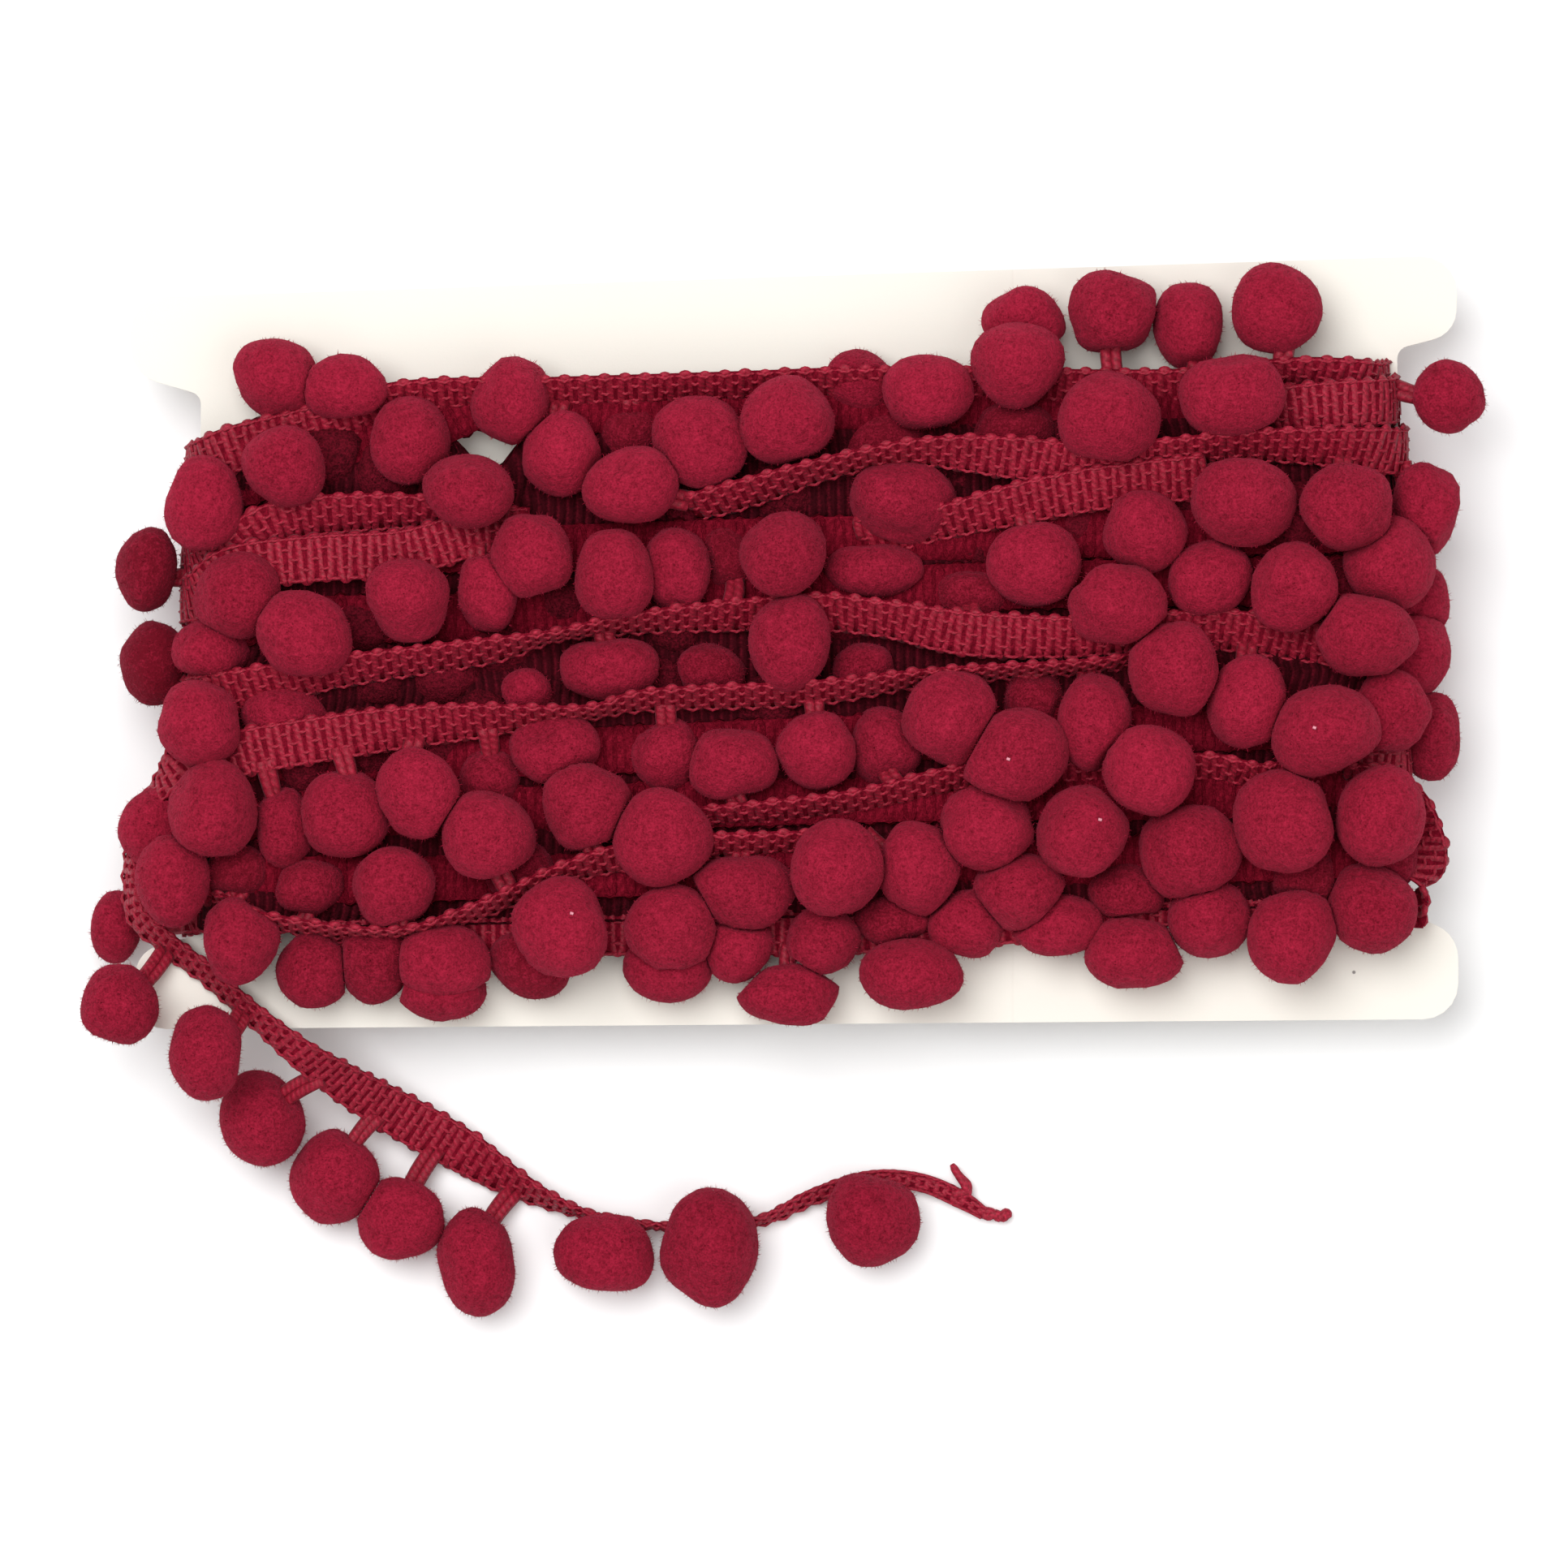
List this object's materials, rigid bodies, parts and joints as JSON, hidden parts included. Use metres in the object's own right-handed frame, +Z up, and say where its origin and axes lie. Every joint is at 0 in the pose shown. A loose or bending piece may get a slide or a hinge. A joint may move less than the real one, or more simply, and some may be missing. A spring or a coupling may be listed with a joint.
{
  "type": "pompom fringe trim wound on a winding card",
  "caption": "Crimson pompom fringe trim wound round a flat eared card, lying face up, with one loose end over its lower left corner.",
  "frame": {"origin": "under the middle of the whole object, on the surface it lies on", "axes": "+X along the card and the turns, from the loose end's side to the other; +Y across the card, away from the loose end; +Z up, out of the front turns"},
  "size_m": [0.277, 0.2065, 0.0507],
  "materials": {
    "board": "smooth uncoated off-white board",
    "yarn": "clipped woolly pompoms and a matt looped braid"
  },
  "bodies": {
    "root": {"card": "board", "wound_trim": "yarn", "loose_end": "yarn"}
  },
  "joints": []
}
